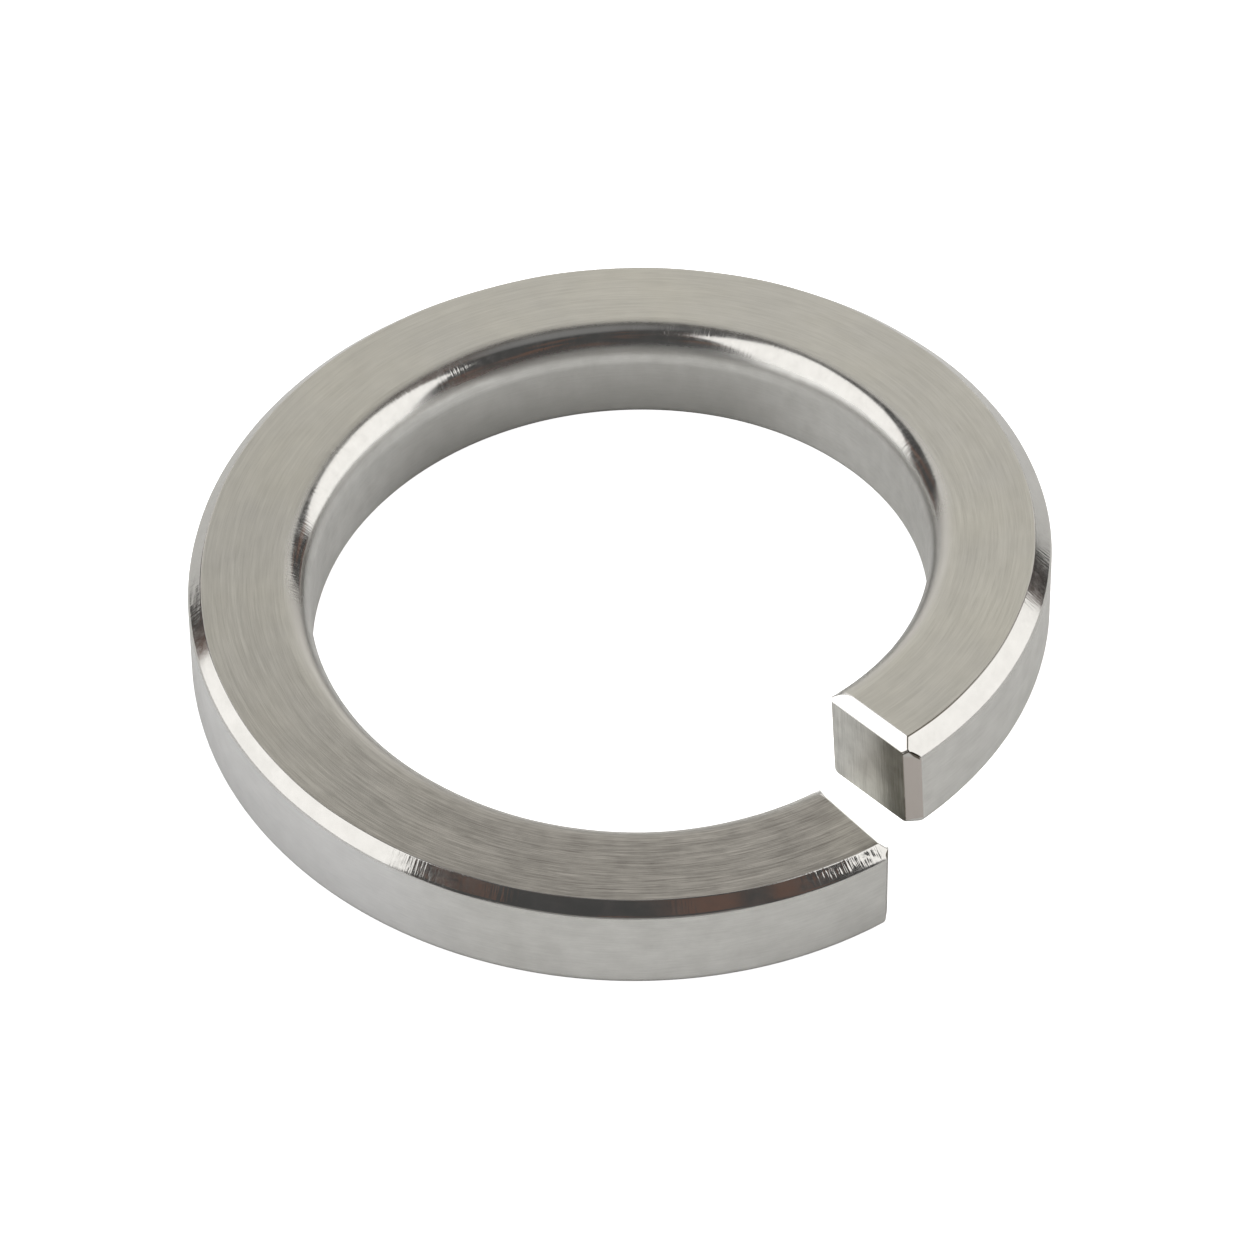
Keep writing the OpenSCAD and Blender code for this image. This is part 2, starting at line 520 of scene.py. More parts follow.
def blend_colours(tree, share, low, high):
    """A colour that goes from low to high with the share."""
    node = tree.nodes.new("ShaderNodeMix")
    node.data_type = "RGBA"
    put(tree, node.inputs[0], share)
    put(tree, node.inputs[6], low)
    put(tree, node.inputs[7], high)
    return node.outputs[2]


def multiply_colours(tree, first, second):
    """The product of two colours, red by red, green by green and blue by blue."""
    product = blend_colours(tree, 1.0, first, second)
    product.node.blend_type = "MULTIPLY"
    return product


def use_group(tree, group, place, **values):
    """Places a node group, gives it the place and its other inputs, and returns its outputs."""
    node = tree.nodes.new("ShaderNodeGroup")
    node.node_tree = group
    put(tree, node.inputs["Place"], place)
    for label, value in values.items():
        put(tree, node.inputs[label], value)
    return node.outputs


print("helpers: blend_numbers, blend_colours, multiply_colours, use_group")

# %% Node groups: streaks and clouds
fine_length = 0.35
fine_width = 0.4


def make_streaks():
    """Coarse streaks along the coil and finer ones, added in equal shares. The fine ones' length and
    width are shares of the coarse ones'."""
    group, given, out = new_group(
        "coil_streaks",
        [("Place", "NodeSocketVector", None), ("Length", "NodeSocketFloat", 6.0),
         ("Width", "NodeSocketFloat", 0.12)],
        [("Streaks", "NodeSocketFloat")])
    place, length, width = (given.outputs[label] for label in ("Place", "Length", "Width"))
    coarse = stretched_noise(group, place, length, width, detail=2.0, roughness=0.55)
    short = math_node(group, "MULTIPLY", length, fine_length)
    narrow = math_node(group, "MULTIPLY", width, fine_width)
    fine = stretched_noise(group, place, short, narrow, detail=2.0, roughness=0.6)
    both = math_node(group, "MULTIPLY", math_node(group, "ADD", coarse, fine), 0.5)
    put(group, out.inputs["Streaks"], spread(group, both, 0.36, 0.64))
    return group


def make_clouds():
    """Slow cloudiness of one size in every direction."""
    group, given, out = new_group(
        "steel_clouds",
        [("Place", "NodeSocketVector", None), ("Size", "NodeSocketFloat", 3.0)],
        [("Clouds", "NodeSocketFloat")])
    size = given.outputs["Size"]
    noise = stretched_noise(group, given.outputs["Place"], size, size, detail=3.0, roughness=0.55)
    put(group, out.inputs["Clouds"], spread(group, noise, 0.3, 0.7))
    return group


coil_streaks = make_streaks()
steel_clouds = make_clouds()
print("groups:", [coil_streaks.name, steel_clouds.name])

# %% Node groups: ripples and a window
ripple_width = 1.2


def make_ripples():
    """Ripples across the coil, short along it, which come and go in patches."""
    group, given, out = new_group(
        "cross_ripples",
        [("Place", "NodeSocketVector", None), ("Spacing", "NodeSocketFloat", 0.12),
         ("Patches", "NodeSocketFloat", 2.5)],
        [("Ripples", "NodeSocketFloat")])
    place, patches = given.outputs["Place"], given.outputs["Patches"]
    waves = stretched_noise(group, place, given.outputs["Spacing"], ripple_width)
    amount = spread(group, stretched_noise(group, place, patches, patches), 0.42, 0.66)
    put(group, out.inputs["Ripples"], math_node(group, "MULTIPLY", waves, amount))
    return group


def make_window():
    """Full between two angles of the coil, in degrees from the high end's cut, and fading out over a
    third one on both sides."""
    group, given, out = new_group(
        "coil_window",
        [("Place", "NodeSocketVector", None), ("Start", "NodeSocketFloat", 0.0),
         ("End", "NodeSocketFloat", 90.0), ("Fade", "NodeSocketFloat", 5.0)],
        [("Window", "NodeSocketFloat")])
    angle = math_node(group, "MULTIPLY", axis_of(group, given.outputs["Place"], "X"),
                      math.degrees(MM / mid_radius))
    start, end, fade = (given.outputs[label] for label in ("Start", "End", "Fade"))
    opened = spread(group, angle, math_node(group, "SUBTRACT", start, fade), start, smooth=True)
    closed = spread(group, angle, end, math_node(group, "ADD", end, fade), smooth=True)
    still_open = math_node(group, "SUBTRACT", 1.0, closed)
    put(group, out.inputs["Window"], math_node(group, "MULTIPLY", opened, still_open))
    return group


cross_ripples = make_ripples()
coil_window = make_window()
print("groups:", [cross_ripples.name, coil_window.name])

# %% [markdown]
# ## Looks that several faces share
# The brushed look of the flats runs over the top of the inner round, and the satin look of the walls
# runs up its foot. So each of these two looks is a group of its own, with a colour, a roughness and a
# height as its outputs. Each colour below is a pair, from dark to light, which the marks blend. What
# happens on one stretch of the coil only has a window of its own, in degrees.

# %% Node group: brushed look
LOOK_OUTPUTS = [("Colour", "NodeSocketColor"), ("Roughness", "NodeSocketFloat"),
                ("Height", "NodeSocketFloat")]
FRESH_STEEL = ((0.540, 0.527, 0.483), (0.630, 0.615, 0.568))
OLD_STEEL = ((0.250, 0.237, 0.217), (0.520, 0.498, 0.462))
COOL_TO_WARM = ((0.97, 0.975, 0.985), (1.02, 1.02, 1.0))
OLD_STRETCH = {"Start": 312.0, "End": 400.0, "Fade": 76.0}
brushed_roughness = (0.42, 0.30)


def make_brushed_look():
    """Brushed along the coil. It is fresh and faint by the high end, darker and strongly marked by
    the low end, with a slow mottle all over."""
    group, given, out = new_group("brushed_look", [("Place", "NodeSocketVector", None)], LOOK_OUTPUTS)
    place = given.outputs["Place"]
    streaks = use_group(group, coil_streaks, place, Length=3.4, Width=0.10)[0]
    clouds = use_group(group, steel_clouds, place, Size=1.3)[0]
    patches = use_group(group, steel_clouds, place, Size=5.0)[0]
    worn = use_group(group, coil_window, place, **OLD_STRETCH)[0]
    marks = blend_numbers(group, 0.3, streaks, clouds)
    fresh = blend_colours(group, marks, *FRESH_STEEL)
    fresh = multiply_colours(group, fresh, blend_colours(group, patches, *COOL_TO_WARM))
    old = blend_colours(group, marks, *OLD_STEEL)
    put(group, out.inputs["Colour"], blend_colours(group, worn, fresh, old))
    put(group, out.inputs["Roughness"], blend_numbers(group, streaks, *brushed_roughness))
    depth = blend_numbers(group, worn, 0.35, 1.0)
    put(group, out.inputs["Height"], math_node(group, "MULTIPLY", streaks, depth))
    return group


brushed_look = make_brushed_look()
print("look:", brushed_look.name)

# %% Node group: satin look
DRAWN_STEEL = ((0.625, 0.62, 0.60), (0.755, 0.75, 0.73))
# The second colour pair and its stretch are a painted highlight on the outer wall.
PAINTED_SHEEN_STEEL = ((0.78, 0.78, 0.785), (0.87, 0.87, 0.875))
PAINTED_SHEEN_STRETCH = {"Start": 250.0, "End": 280.0, "Fade": 26.0}
outer_side = (2.0, 2.6)
satin_roughness = (0.38, 0.28)


def make_satin_look():
    """Drawn wire: a fine, nearly even satin, with short faint marks along the coil and a mottle. It has
    a painted highlight, a lighter colour, on a stretch of the outer wall."""
    group, given, out = new_group("satin_look", [("Place", "NodeSocketVector", None)], LOOK_OUTPUTS)
    place = given.outputs["Place"]
    streaks = use_group(group, coil_streaks, place, Length=1.6, Width=0.12)[0]
    clouds = use_group(group, steel_clouds, place, Size=1.1)[0]
    tone = blend_numbers(group, 0.6, streaks, clouds)
    drawn = blend_colours(group, tone, *DRAWN_STEEL)
    # Painted highlight: the outer wall is lighter on one stretch of the coil, below the bevel.
    painted_sheen = blend_colours(group, tone, *PAINTED_SHEEN_STEEL)
    stretch = use_group(group, coil_window, place, **PAINTED_SHEEN_STRETCH)[0]
    outer = spread(group, axis_of(group, place, "Y"), *outer_side)
    lighter = math_node(group, "MULTIPLY", stretch, outer)
    put(group, out.inputs["Colour"], blend_colours(group, lighter, drawn, painted_sheen))
    put(group, out.inputs["Roughness"], blend_numbers(group, tone, *satin_roughness))
    put(group, out.inputs["Height"], math_node(group, "MULTIPLY", tone, 0.5))
    return group


satin_look = make_satin_look()
print("look:", satin_look.name)

# %% [markdown]
# ## The finishes
# All five are fully metallic, so that their brightness is that of what they mirror, and they differ in
# how rough they are and how they are marked. Depths are how high the marks stand. Places are
# millimetres, outwards or up from the wire's middle, and a pair of them is where an effect starts and
# where it is full.

# %% Material helpers
def read_attribute(tree, name):
    """A node that reads one of the skin's attributes."""
    attribute = tree.nodes.new("ShaderNodeAttribute")
    attribute.attribute_name = name
    return attribute


def start_material(name, anisotropic=0.0):
    """A metallic material with its shader and its place attribute. Where it is anisotropic, it also
    gets a tangent round the axis."""
    material = bpy.data.materials.new(name)
    material.use_nodes = True
    tree = material.node_tree
    shader = tree.nodes["Principled BSDF"]
    shader.inputs["Metallic"].default_value = 1.0
    shader.inputs["Anisotropic"].default_value = anisotropic
    if anisotropic:
        tangent = tree.nodes.new("ShaderNodeTangent")
        tangent.direction_type = "RADIAL"
        tangent.axis = "Z"
        put(tree, shader.inputs["Tangent"], tangent.outputs[0])
    return material, tree, shader, read_attribute(tree, "coil_place").outputs["Vector"]


def add_bump(tree, shader, height, depth):
    """Bumps the shader's normal by a height from 0 to 1 that stands for depth in metres."""
    bump = tree.nodes.new("ShaderNodeBump")
    bump.inputs["Distance"].default_value = depth
    put(tree, bump.inputs["Height"], height)
    put(tree, shader.inputs["Normal"], bump.outputs[0])


def dress(tree, shader, look, depth):
    """Gives the shader a look's colour, roughness and height."""
    put(tree, shader.inputs["Base Color"], look["Colour"])
    put(tree, shader.inputs["Roughness"], look["Roughness"])
    add_bump(tree, shader, look["Height"], depth)


print("helpers: read_attribute, start_material, add_bump, dress")

# %% [markdown]
# ### Flats and walls
# The flats were brushed round the bolt's axis, so their shader is a little anisotropic, along a
# tangent that runs round that axis. Otherwise they are their look alone. The walls are too, but for a
# painted shade in the bore, opposite the slit and darkest low down. It is a grey colour over the
# look and not a coat.

# %% Brushed flats and satin walls
grain_depth = 0.005 * MM
satin_depth = 0.006 * MM
# Painted shade in the bore: a grey colour, where it falls and how it deepens low down.
BORE_SHADE_GREY = (0.24, 0.235, 0.22)
BORE_SHADE_STRETCH = {"Start": 122.0, "End": 172.0, "Fade": 34.0}
shade_inwards = (-2.4, -2.9)
shade_below = (1.15, 0.75)
shade_deepens = (1.1, -2.0)


def make_brushed_flats():
    """The brushed look alone, a little anisotropic."""
    material, tree, shader, place = start_material("brushed_flats", anisotropic=0.3)
    dress(tree, shader, use_group(tree, brushed_look, place), grain_depth)
    return material


def make_satin_walls():
    """The satin look, with a painted shade in the bore, opposite the slit and darkest low down."""
    material, tree, shader, place = start_material("satin_walls", anisotropic=0.2)
    look = use_group(tree, satin_look, place)
    dress(tree, shader, look, satin_depth)
    # Painted shade: the bore is blended towards grey opposite the slit, most low down.
    inside = spread(tree, axis_of(tree, place, "Y"), *shade_inwards)
    height = axis_of(tree, place, "Z")
    inside = math_node(tree, "MULTIPLY", inside, spread(tree, height, *shade_below, smooth=True))
    low = spread(tree, height, *shade_deepens)
    opposite = use_group(tree, coil_window, place, **BORE_SHADE_STRETCH)[0]
    bore_shade = math_node(tree, "MULTIPLY", math_node(tree, "MULTIPLY", inside, opposite),
                     blend_numbers(tree, low, 0.3, 0.7))
    put(tree, shader.inputs["Base Color"], blend_colours(tree, bore_shade, look["Colour"], BORE_SHADE_GREY))
    return material


finishes = [make_brushed_flats(), make_satin_walls()]
print("finishes:", [finish.name for finish in finishes])

# %% [markdown]
# ### Burnished edges
# The bevel and the inner round were polished. The polish goes over the two looks, as much of it as the
# skin's polish attribute says, so that it can fade into them. It has ripples across the edge, and
# chatter marks on the few stretches where the polishing wheel jumped. Both are bumps, because it is
# by the broken reflections that the eye finds them. The fine edges are darkened, partly as a thin line
# of oxide and partly as a painted dark reflection along them.

# %% Chatter marks
FAINT_JUMPS = ({"Start": 230.0, "End": 236.0, "Fade": 4.0}, {"Start": 287.0, "End": 295.0, "Fade": 5.0})
STRONG_JUMPS = {"Start": 345.0, "End": 354.0, "Fade": 3.0}
faint_share = 0.2
upper_bevel = (2.05, 2.3)


def jumps(tree, place):
    """Where the polishing wheel jumped, in patches: faintly on two short stretches of the coil, and
    strongly on the upper half of the bevel by the low end."""
    first, second = (use_group(tree, coil_window, place, **stretch)[0] for stretch in FAINT_JUMPS)
    faint = math_node(tree, "ADD", first, second)
    by_end = use_group(tree, coil_window, place, **STRONG_JUMPS)[0]
    upper = spread(tree, axis_of(tree, place, "Z"), *upper_bevel, smooth=True)
    strong = math_node(tree, "MULTIPLY", by_end, upper)
    both = math_node(tree, "ADD", math_node(tree, "MULTIPLY", faint, faint_share), strong)
    patchy = spread(tree, stretched_noise(tree, place, along=0.8, across=0.5), 0.35, 0.6)
    return math_node(tree, "MULTIPLY", both, patchy)


print("stretches with chatter marks:", len(FAINT_JUMPS) + 1)

# %% Burnished edges
ripple_depth = 0.026 * MM
ripple_share = 0.3
polished_roughness = (0.07, 0.19)
POLISHED_STEEL = ((0.60, 0.59, 0.57), (0.66, 0.65, 0.63))
BARE_ROUND = (0.72, 0.705, 0.67)
BROWNISH_BEVEL = (0.56, 0.515, 0.485)
EDGE_OXIDE_AND_SHADE = (0.13, 0.115, 0.095)
CUT_STRETCH = {"Start": -10.0, "End": 1.85, "Fade": 0.1}
brushed_above = (2.2, 2.35)
bare_below = (2.64, 2.42)
brownish_below = (1.95, 1.75)


def make_burnished_edges():
    """Polish over the satin look low down and the brushed one high up, with ripples and chatter. The
    upright bevel of the high end is a little brown."""
    material, tree, shader, place = start_material("burnished_edges")
    share = read_attribute(tree, "polish").outputs["Fac"]
    edges = read_attribute(tree, "fine_edges").outputs["Fac"]
    brushed = use_group(tree, brushed_look, place)
    satin = use_group(tree, satin_look, place)
    height = axis_of(tree, place, "Z")
    high = spread(tree, height, *brushed_above, smooth=True)
    clouds = use_group(tree, steel_clouds, place, Size=0.8)[0]
    fine = use_group(tree, steel_clouds, place, Size=0.25)[0]
    bare = spread(tree, height, *bare_below, smooth=True)
    flat = blend_colours(tree, bare, brushed["Colour"], BARE_ROUND)
    under = blend_colours(tree, high, satin["Colour"], flat)
    over = blend_colours(tree, clouds, *POLISHED_STEEL)
    polished = blend_colours(tree, share, under, over)
    by_cut = use_group(tree, coil_window, place, **CUT_STRETCH)[0]
    upright = math_node(tree, "MULTIPLY", by_cut, spread(tree, height, *brownish_below))
    polished = blend_colours(tree, upright, polished, BROWNISH_BEVEL)
    # The fine edges are darkened: a thin oxide line and a painted dark reflection.
    put(tree, shader.inputs["Base Color"], blend_colours(tree, edges, polished, EDGE_OXIDE_AND_SHADE))
    rough = blend_numbers(tree, high, satin["Roughness"], brushed["Roughness"])
    smooth = blend_numbers(tree, blend_numbers(tree, 0.5, clouds, fine), *polished_roughness)
    put(tree, shader.inputs["Roughness"], blend_numbers(tree, share, rough, smooth))
    ripples = use_group(tree, cross_ripples, place, Spacing=0.13, Patches=2.2)[0]
    chatter = math_node(tree, "MULTIPLY", jumps(tree, place),
                        stretched_noise(tree, place, along=0.11, across=0.9))
    marks = math_node(tree, "ADD", math_node(tree, "MULTIPLY", ripples, ripple_share), chatter)
    add_bump(tree, shader, marks, ripple_depth)
    return material


finishes.append(make_burnished_edges())
print("finish:", finishes[-1].name)

# %% [markdown]
# ### Ends
# A shear left the cut faces dull, with upright drag marks, and darker outwards. For these the pattern
# of the grain is turned upright. The bevels on top of the ends were ground afterwards. They are nearly
# as smooth as the polish, and lighter.

# %% Sheared ends and ground ends
GROUND_STEEL = ((0.84, 0.83, 0.82), (0.90, 0.89, 0.88))
SHEARED_LIGHT = ((0.60, 0.595, 0.565), (0.90, 0.895, 0.86))
SHEARED_DARK = ((0.15, 0.145, 0.125), (0.33, 0.325, 0.29))
darker_outwards = (0.3, 2.2)
drag_depth = 0.006 * MM
ground_roughness = (0.18, 0.28)
sheared_roughness = (0.42, 0.30)


def make_ground_ends():
    """The bevels on top of both ends, freshly ground and the brightest places of the washer."""
    material, tree, shader, place = start_material("ground_ends")
    clouds = use_group(tree, steel_clouds, place, Size=0.5)[0]
    bright = blend_colours(tree, clouds, *GROUND_STEEL)
    edges = read_attribute(tree, "fine_edges").outputs["Fac"]
    # The fine edges are darkened: a thin oxide line and a painted dark reflection.
    put(tree, shader.inputs["Base Color"], blend_colours(tree, edges, bright, EDGE_OXIDE_AND_SHADE))
    put(tree, shader.inputs["Roughness"], blend_numbers(tree, clouds, *ground_roughness))
    return material


def make_sheared_ends():
    """Cut faces: dull, with upright drag marks, and darker outwards, with a wavy border."""
    material, tree, shader, place = start_material("sheared_ends")
    turned = tree.nodes.new("ShaderNodeMapping")
    turned.inputs["Rotation"].default_value = (0.0, math.pi / 2, 0.0)
    put(tree, turned.inputs["Vector"], place)
    streaks = use_group(tree, coil_streaks, turned.outputs[0], Length=3.5, Width=0.14)[0]
    clouds = use_group(tree, steel_clouds, place, Size=1.2)[0]
    tone = blend_numbers(tree, 0.5, streaks, clouds)
    wavy = math_node(tree, "ADD", axis_of(tree, place, "Y"), math_node(tree, "MULTIPLY", streaks, 0.9))
    outer = spread(tree, wavy, *darker_outwards, smooth=True)
    light = blend_colours(tree, tone, *SHEARED_LIGHT)
    dark = blend_colours(tree, tone, *SHEARED_DARK)
    put(tree, shader.inputs["Base Color"], blend_colours(tree, outer, light, dark))
    put(tree, shader.inputs["Roughness"], blend_numbers(tree, streaks, *sheared_roughness))
    add_bump(tree, shader, streaks, drag_depth)
    return material


finishes += [make_sheared_ends(), make_ground_ends()]
print("finishes:", [finish.name for finish in finishes[-2:]])

# %% [markdown]
# ## Dressing the skin
# The five materials go onto the skin in the order of the numbers that its faces carry. Then the skin
# is tied to the body that it rides on, and the solid that it replaces is hidden.

# %% Dress the skin
for finish in finishes:
    washer_skin.data.materials.append(finish)
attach(washer_skin, "root")
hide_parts("spring_washer")
print("materials on the skin:", len(washer_skin.data.materials))

# %% [markdown]
# ## Camera
# The photograph was taken from a little above 45 degrees with a long lens. The camera stands on that
# line, with the photograph's slight roll, and aims at the middle of the washer.

# %% Camera
view_heading = math.radians(50.58)
view_elevation = math.radians(45.17)
view_roll = math.radians(-0.702)
view_distance = 389.6 * MM
view_focal_px = 7883.7
photo_px = 1250
sensor_width_mm = 36
aim_height = 5.405 * MM
aim_right = 0.2924 * MM
aim_up = -1.1534 * MM

to_right = Vector((math.cos(view_heading), math.sin(view_heading), 0))
to_back = Vector((-math.sin(view_heading), math.cos(view_heading), 0))
UP = Vector((0, 0, 1))


def studio(right, back, up):
    """A point given as right of, behind and above the washer's foot, as the camera sees it."""
    return to_right * right + to_back * back + UP * up


def make_camera():
    """Camera whose own axes are worked out from the heading, the elevation and the roll."""
    sight = to_back * math.cos(view_elevation) - UP * math.sin(view_elevation)
    level_up = to_back * math.sin(view_elevation) + UP * math.cos(view_elevation)
    right = to_right * math.cos(view_roll) + level_up * math.sin(view_roll)
    up = level_up * math.cos(view_roll) - to_right * math.sin(view_roll)
    aim = UP * aim_height + right * aim_right + up * aim_up
    data = bpy.data.cameras.new("camera")
    data.sensor_width = sensor_width_mm
    data.lens = sensor_width_mm * view_focal_px / photo_px
    data.clip_start = 0.01
    data.clip_end = 20
    camera = bpy.data.objects.new("camera", data)
    turn = Matrix((right, up, -sight)).transposed().to_4x4()
    camera.matrix_world = Matrix.Translation(aim - sight * view_distance) @ turn
    bpy.context.scene.collection.objects.link(camera)
    bpy.context.scene.camera = camera
    print("lens, mm:", round(data.lens, 1))


make_camera()

# %% [markdown]
# ## Floor
# Left alone on a table, the washer tips until it rests on two places: the low end's inner corner, and
# the outside of the wire half a turn away. The washer's own frame keeps the bolt's axis upright, so
# here the floor leans instead. It passes through the first place and touches the coil at the second.

# %% Where the floor lies
def resting_plane():
    """Height, slope along X and slope along Y of the plane that the coil rests on.

    Three conditions: it passes through the low end's inner corner, it passes through the bottom outer
    edge half a turn back, and there it rises along the coil as fast as the coil does.
    """
    inner = bore_radius + bottom_round
    outer = rim_radius - bottom_round
    half_back = last_cut - math.pi
    conditions = np.array([
        [1, inner * math.cos(last_cut), inner * math.sin(last_cut)],
        [1, outer * math.cos(half_back), outer * math.sin(half_back)],
        [0, -outer * math.sin(half_back), outer * math.cos(half_back)]])
    wanted = np.array([0, turn_rise / 2, -turn_rise / (2 * math.pi)])
    return np.linalg.solve(conditions, wanted)


floor_height, floor_slope_x, floor_slope_y = resting_plane()
lean = math.degrees(math.atan(math.hypot(floor_slope_x, floor_slope_y)))
print("the floor leans by", round(lean, 2), "degrees")

# %% Floor
floor_reach = 1.6
PAPER_GREY = (0.6, 0.6, 0.59)


def floor_level(x, y):
    """Height of the leaning floor at a place: its height at the axis plus each slope times its way."""
    return floor_height + floor_slope_x * x + floor_slope_y * y


def stage_mesh(name, corners, material):
    """A four-cornered card of the stage, in the order of its corners."""
    mesh = bpy.data.meshes.new(name)
    mesh.from_pydata(corners, [], [(0, 1, 2, 3)])
    mesh.materials.append(material)
    card = bpy.data.objects.new(name, mesh)
    bpy.context.scene.collection.objects.link(card)
    return card


def make_floor_material(glow):
    """Matt pale grey paper. What the camera sees of it also glows, which makes it pure white, and what
    the washer reflects is the grey alone."""
    material = bpy.data.materials.new("pale_paper")
    material.use_nodes = True
    tree = material.node_tree
    shader = tree.nodes["Principled BSDF"]
    put(tree, shader.inputs["Base Color"], PAPER_GREY)
    shader.inputs["Roughness"].default_value = 0.9
    shader.inputs["Specular IOR Level"].default_value = 0.1
    shader.inputs["Emission Color"].default_value = (1, 1, 1, 1)
    path = tree.nodes.new("ShaderNodeLightPath")
    strength = math_node(tree, "MULTIPLY", path.outputs["Is Camera Ray"], glow)
    tree.links.new(strength, shader.inputs["Emission Strength"])
    return material


floor_corners = [
    (x, y, floor_level(x, y))
    for x, y in ((-floor_reach, -floor_reach), (floor_reach, -floor_reach),
                 (floor_reach, floor_reach), (-floor_reach, floor_reach))]
stage_mesh("floor", floor_corners, make_floor_material(glow=1.0))
print("floor, m across:", 2 * floor_reach)

# %% [markdown]
# ## Studio
# The bright bands on the bevel and the inner round are the reflections of two tall soft boxes, left
# and right. The brushed top mirrors a grey card behind the washer, which a low card carries down to
# the floor, and a dimmer low card stands in front. Two small dark flags stand low, where the soft
# boxes and the card behind leave a gap, and a little bright card lies on the floor beside the slit.
# Round all that the room is dim, with brown shapes on its walls and a lighter ceiling, and its side
# round the camera draws the dark band down the front of the bevel. The camera itself sees none of it.
# Places are metres, as right of, behind and above the washer's foot.

# %% Card helpers
CARD_COLOUR = (1.0, 0.98, 0.94)


def glowing_material(name, colour, strength):
    """A card that gives off even light."""
    material = bpy.data.materials.new(name)
    material.use_nodes = True
    tree = material.node_tree
    tree.nodes.clear()
    glow = tree.nodes.new("ShaderNodeEmission")
    put(tree, glow.inputs["Color"], colour)
    glow.inputs["Strength"].default_value = strength
    out = tree.nodes.new("ShaderNodeOutputMaterial")
    tree.links.new(glow.outputs[0], out.inputs["Surface"])
    return material


def bearing(azimuth, elevation, right):
    """The point that far to the right, at an azimuth in degrees from straight back towards the right
    and at an elevation in degrees."""
    back = abs(right) / math.tan(math.radians(azimuth))
    up = math.hypot(right, back) * math.tan(math.radians(elevation))
    return right, back, up


def studio_card(name, corners, colour, strength):
    """A glowing card that only reflections and light rays meet."""
    card = stage_mesh(name, [studio(*corner) for corner in corners],
                      glowing_material(name, colour, strength))
    card.visible_camera = False
    card.visible_shadow = False


def upright_card(name, behind, heights, half_widths, strength):
    """A warm card that faces the washer from behind or in front. It goes from one height to another,
    and is twice as wide as the half width that is given for each."""
    low, high = heights
    foot, head = half_widths
    corners = [(-foot, behind, low), (foot, behind, low), (head, behind, high), (-head, behind, high)]
    studio_card(name, corners, CARD_COLOUR, strength)


print("helpers: glowing_material, bearing, studio_card, upright_card")

# %% Soft boxes and upright cards
BOX_COLOUR = (1.0, 0.99, 0.97)
box_strength = 1.4
card_strength = 0.82
front_strength = 0.32
card_behind = 0.3
SOFT_BOXES = {
    "left_soft_box": (-0.25, [(131, 1), (66, 4), (49, 62), (131, 62)]),
    "right_soft_box": (0.25, [(115.5, 1), (62, 4), (44, 64), (115.5, 64)])}

for name, (side, directions) in SOFT_BOXES.items():
    box_corners = [bearing(azimuth, elevation, side) for azimuth, elevation in directions]
    studio_card(name, box_corners, BOX_COLOUR, box_strength)
upright_card("grey_back", card_behind, (0.05, 0.55), (0.29, 0.2), card_strength)
upright_card("low_back", card_behind, (0.0, 0.05), (0.13, 0.13), card_strength)
upright_card("low_front", -card_behind, (0.0, 0.085), (0.16, 0.16), front_strength)
print("soft boxes:", len(SOFT_BOXES), "and upright cards: 3")

# %% Flags and low reflector
FLAG_COLOUR = (1.0, 1.0, 1.0)
REFLECTOR_COLOUR = (1.0, 1.0, 0.98)
flag_strength = 0.05
reflector_strength = 1.4
flag_far = (0.072, 0.108)
flag_near = (0.118, 0.055)
flag_heights = (-0.004, 0.016)
reflector_rights = (0.008, 0.019)
reflector_behinds = (-0.0105, 0.001)
above_floor = 0.2 * MM

low, high = flag_heights
for name, hand in (("left_flag", -1), ("right_flag", 1)):
    far = (hand * flag_far[0], flag_far[1])
    near = (hand * flag_near[0], flag_near[1])
    flag_corners = [(*far, low), (*near, low), (*near, high), (*far, high)]
    studio_card(name, flag_corners, FLAG_COLOUR, flag_strength)


def reflector_corner(right, behind):
    """A place just above the leaning floor, as right, behind and up."""
    place = studio(right, behind, 0)
    return right, behind, floor_level(place.x, place.y) + above_floor


left, right = reflector_rights
front, behind = reflector_behinds
reflector_places = [(left, front), (right, front), (right, behind), (left, behind)]
studio_card("low_reflector", [reflector_corner(*place) for place in reflector_places],
            REFLECTOR_COLOUR, reflector_strength)
print("low reflector, mm:", round((right - left) / MM, 1), "by", round((behind - front) / MM, 1))

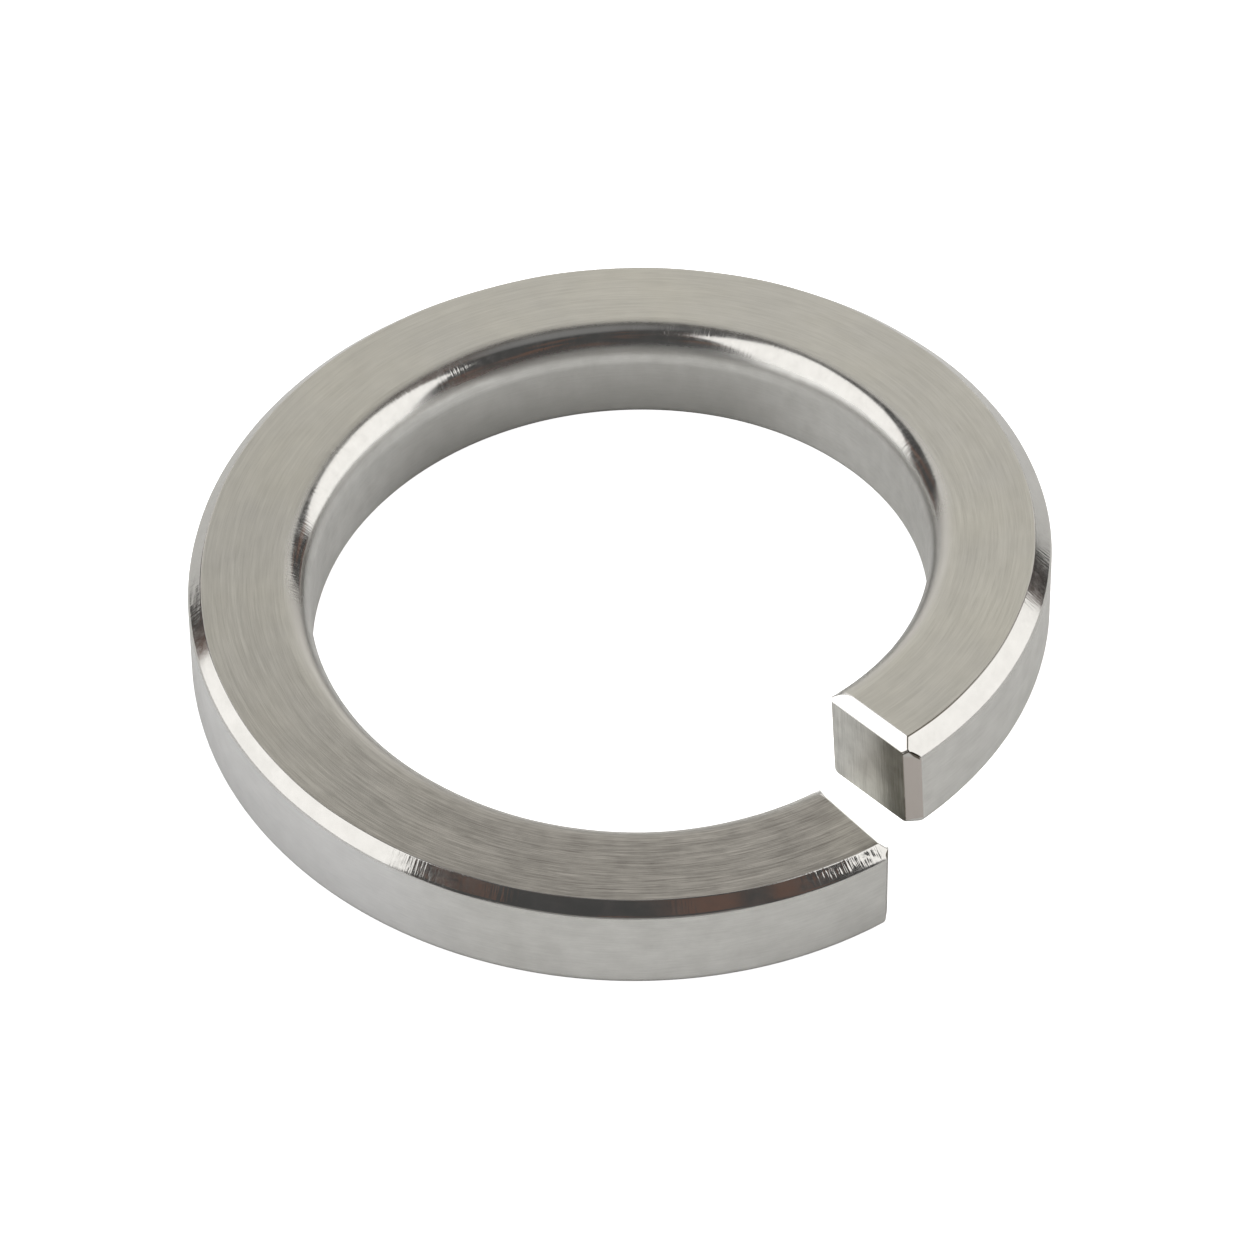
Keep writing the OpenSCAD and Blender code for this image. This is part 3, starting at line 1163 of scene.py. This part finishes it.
# %% Overhead light
overhead = bpy.data.lights.new("overhead", "AREA")
overhead.shape = "SQUARE"
overhead.size = 0.6
overhead.energy = 3.2
overhead_object = bpy.data.objects.new("overhead", overhead)
overhead_object.location = (0, 0, 0.7)
overhead_object.visible_glossy = False
overhead_object.visible_camera = False
bpy.context.scene.collection.objects.link(overhead_object)
print("overhead light, W:", round(overhead.energy, 2))

# %% Surroundings
BROWN_SHARES = (2.1, 1.35, 1.1)


def make_surroundings(dim, ceiling):
    """World: white to the camera. Every other ray meets a dim room with brown shapes in it, and a
    somewhat lighter ceiling."""
    world = bpy.data.worlds.new("room")
    world.use_nodes = True
    tree = world.node_tree
    tree.nodes.clear()
    path = tree.nodes.new("ShaderNodeLightPath")
    place = tree.nodes.new("ShaderNodeTexCoord").outputs["Generated"]
    shapes = tree.nodes.new("ShaderNodeTexNoise")
    shapes.inputs["Scale"].default_value = 5.0
    shapes.inputs["Detail"].default_value = 1.5
    put(tree, shapes.inputs["Vector"], place)
    brown = spread(tree, shapes.outputs["Fac"], 0.56, 0.66, smooth=True)
    brown_wall = tuple(dim * share for share in BROWN_SHARES)
    walls = blend_colours(tree, brown, (dim, dim, dim), brown_wall)
    above = spread(tree, axis_of(tree, place, "Z"), 0.95, 0.995, smooth=True)
    seen = tree.nodes.new("ShaderNodeBackground")
    seen.inputs["Color"].default_value = (1, 1, 1, 1)
    room = tree.nodes.new("ShaderNodeBackground")
    put(tree, room.inputs["Color"], blend_colours(tree, above, walls, (ceiling, ceiling, ceiling)))
    mix = tree.nodes.new("ShaderNodeMixShader")
    out = tree.nodes.new("ShaderNodeOutputWorld")
    tree.links.new(path.outputs["Is Camera Ray"], mix.inputs[0])
    tree.links.new(room.outputs[0], mix.inputs[1])
    tree.links.new(seen.outputs[0], mix.inputs[2])
    tree.links.new(mix.outputs[0], out.inputs["Surface"])
    bpy.context.scene.world = world


make_surroundings(dim=0.085, ceiling=0.26)
bpy.context.scene.view_settings.view_transform = "Standard"
print("world:", bpy.context.scene.world.name)
